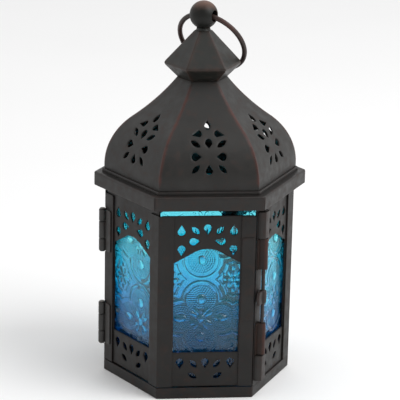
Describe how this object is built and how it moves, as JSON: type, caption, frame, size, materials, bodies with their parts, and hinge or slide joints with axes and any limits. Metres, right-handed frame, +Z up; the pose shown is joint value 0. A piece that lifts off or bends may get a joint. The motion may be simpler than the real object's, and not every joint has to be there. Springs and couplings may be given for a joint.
{
  "type": "candle lantern",
  "caption": "Six-sided pierced metal candle lantern with patterned glass, a two-sided hinged door, onion dome and hanging ring.",
  "frame": {"origin": "centre of the underside of the base", "axes": "+Z up, -Y out of the front side, -X to the hinged corner"},
  "size_m": [0.1026, 0.0888, 0.1852],
  "materials": {
    "blue_glass": "patterned, transparent",
    "bronze_dome": "satin blackened bronze",
    "bronze_cap": "satin blackened bronze",
    "bronze_ball": "satin blackened bronze, copper rubbed",
    "copper_wire": "satin, copper rubbed",
    "copper_sleeve": "satin, copper rubbed",
    "bronze_latch": "satin blackened bronze",
    "bronze_hinge": "satin blackened bronze",
    "steel_pin": "darkened",
    "tin_cup": "satin",
    "bronze_collar": "satin blackened bronze",
    "bronze_sheet": "satin blackened bronze"
  },
  "bodies": {
    "lantern": {"base_tray": "bronze_sheet", "candle_cup": "tin_cup", "post_right": "bronze_sheet", "post_back_right": "bronze_sheet", "post_back_left": "bronze_sheet", "latch_jamb": "bronze_sheet", "hinge_jamb": "bronze_sheet", "glass_clips": "bronze_sheet", "collar": "bronze_collar", "dome_ledge": "bronze_collar", "panel_right_front": "bronze_sheet", "panel_right_back": "bronze_sheet", "panel_back": "bronze_sheet", "panel_left_back": "bronze_sheet", "glass_right_front": "blue_glass", "glass_right_back": "blue_glass", "glass_back": "blue_glass", "glass_left_back": "blue_glass", "petal_front": "bronze_dome", "petal_right_front": "bronze_dome", "petal_right_back": "bronze_dome", "petal_back": "bronze_dome", "petal_left_back": "bronze_dome", "petal_left_front": "bronze_dome", "cap_under": "bronze_cap", "cap_roof": "bronze_cap", "finial_stem": "bronze_cap", "finial_ball": "bronze_ball", "latch_keepers": "bronze_latch", "latch_sleeves": "copper_sleeve", "upper_hinge_fixed_leaf": "bronze_hinge", "upper_hinge_pin": "steel_pin", "lower_hinge_fixed_leaf": "bronze_hinge", "lower_hinge_pin": "steel_pin"},
    "door": {"door_hinge_stile": "bronze_sheet", "door_fold_angle": "bronze_sheet", "door_latch_stile": "bronze_sheet", "door_left_panel": "bronze_sheet", "door_front_panel": "bronze_sheet", "door_left_glass": "blue_glass", "door_front_glass": "blue_glass", "door_glass_clips": "bronze_sheet", "strike_plate": "bronze_sheet", "upper_hinge_door_leaf": "bronze_hinge", "lower_hinge_door_leaf": "bronze_hinge"},
    "latch": {"latch_rod": "bronze_latch", "latch_tongue": "bronze_latch"},
    "ring": {"ring": "copper_wire"}
  },
  "joints": [
    {"name": "door_hinge", "type": "hinge", "parent": "lantern", "child": "door", "pos_m": [-0.047, 0, 0.045], "axis": [0, 0, -1], "range_deg": [0, 130]},
    {"name": "latch_turn", "type": "hinge", "parent": "lantern", "child": "latch", "pos_m": [0.02708, -0.03677, 0.0503], "axis": [0, 0, 1], "range_deg": [0, 160]},
    {"name": "ring_swing", "type": "hinge", "parent": "lantern", "child": "ring", "pos_m": [0, 0, 0.1785], "axis": [0.8192, -0.5736, 0], "range_deg": [0, 298]}
  ]
}
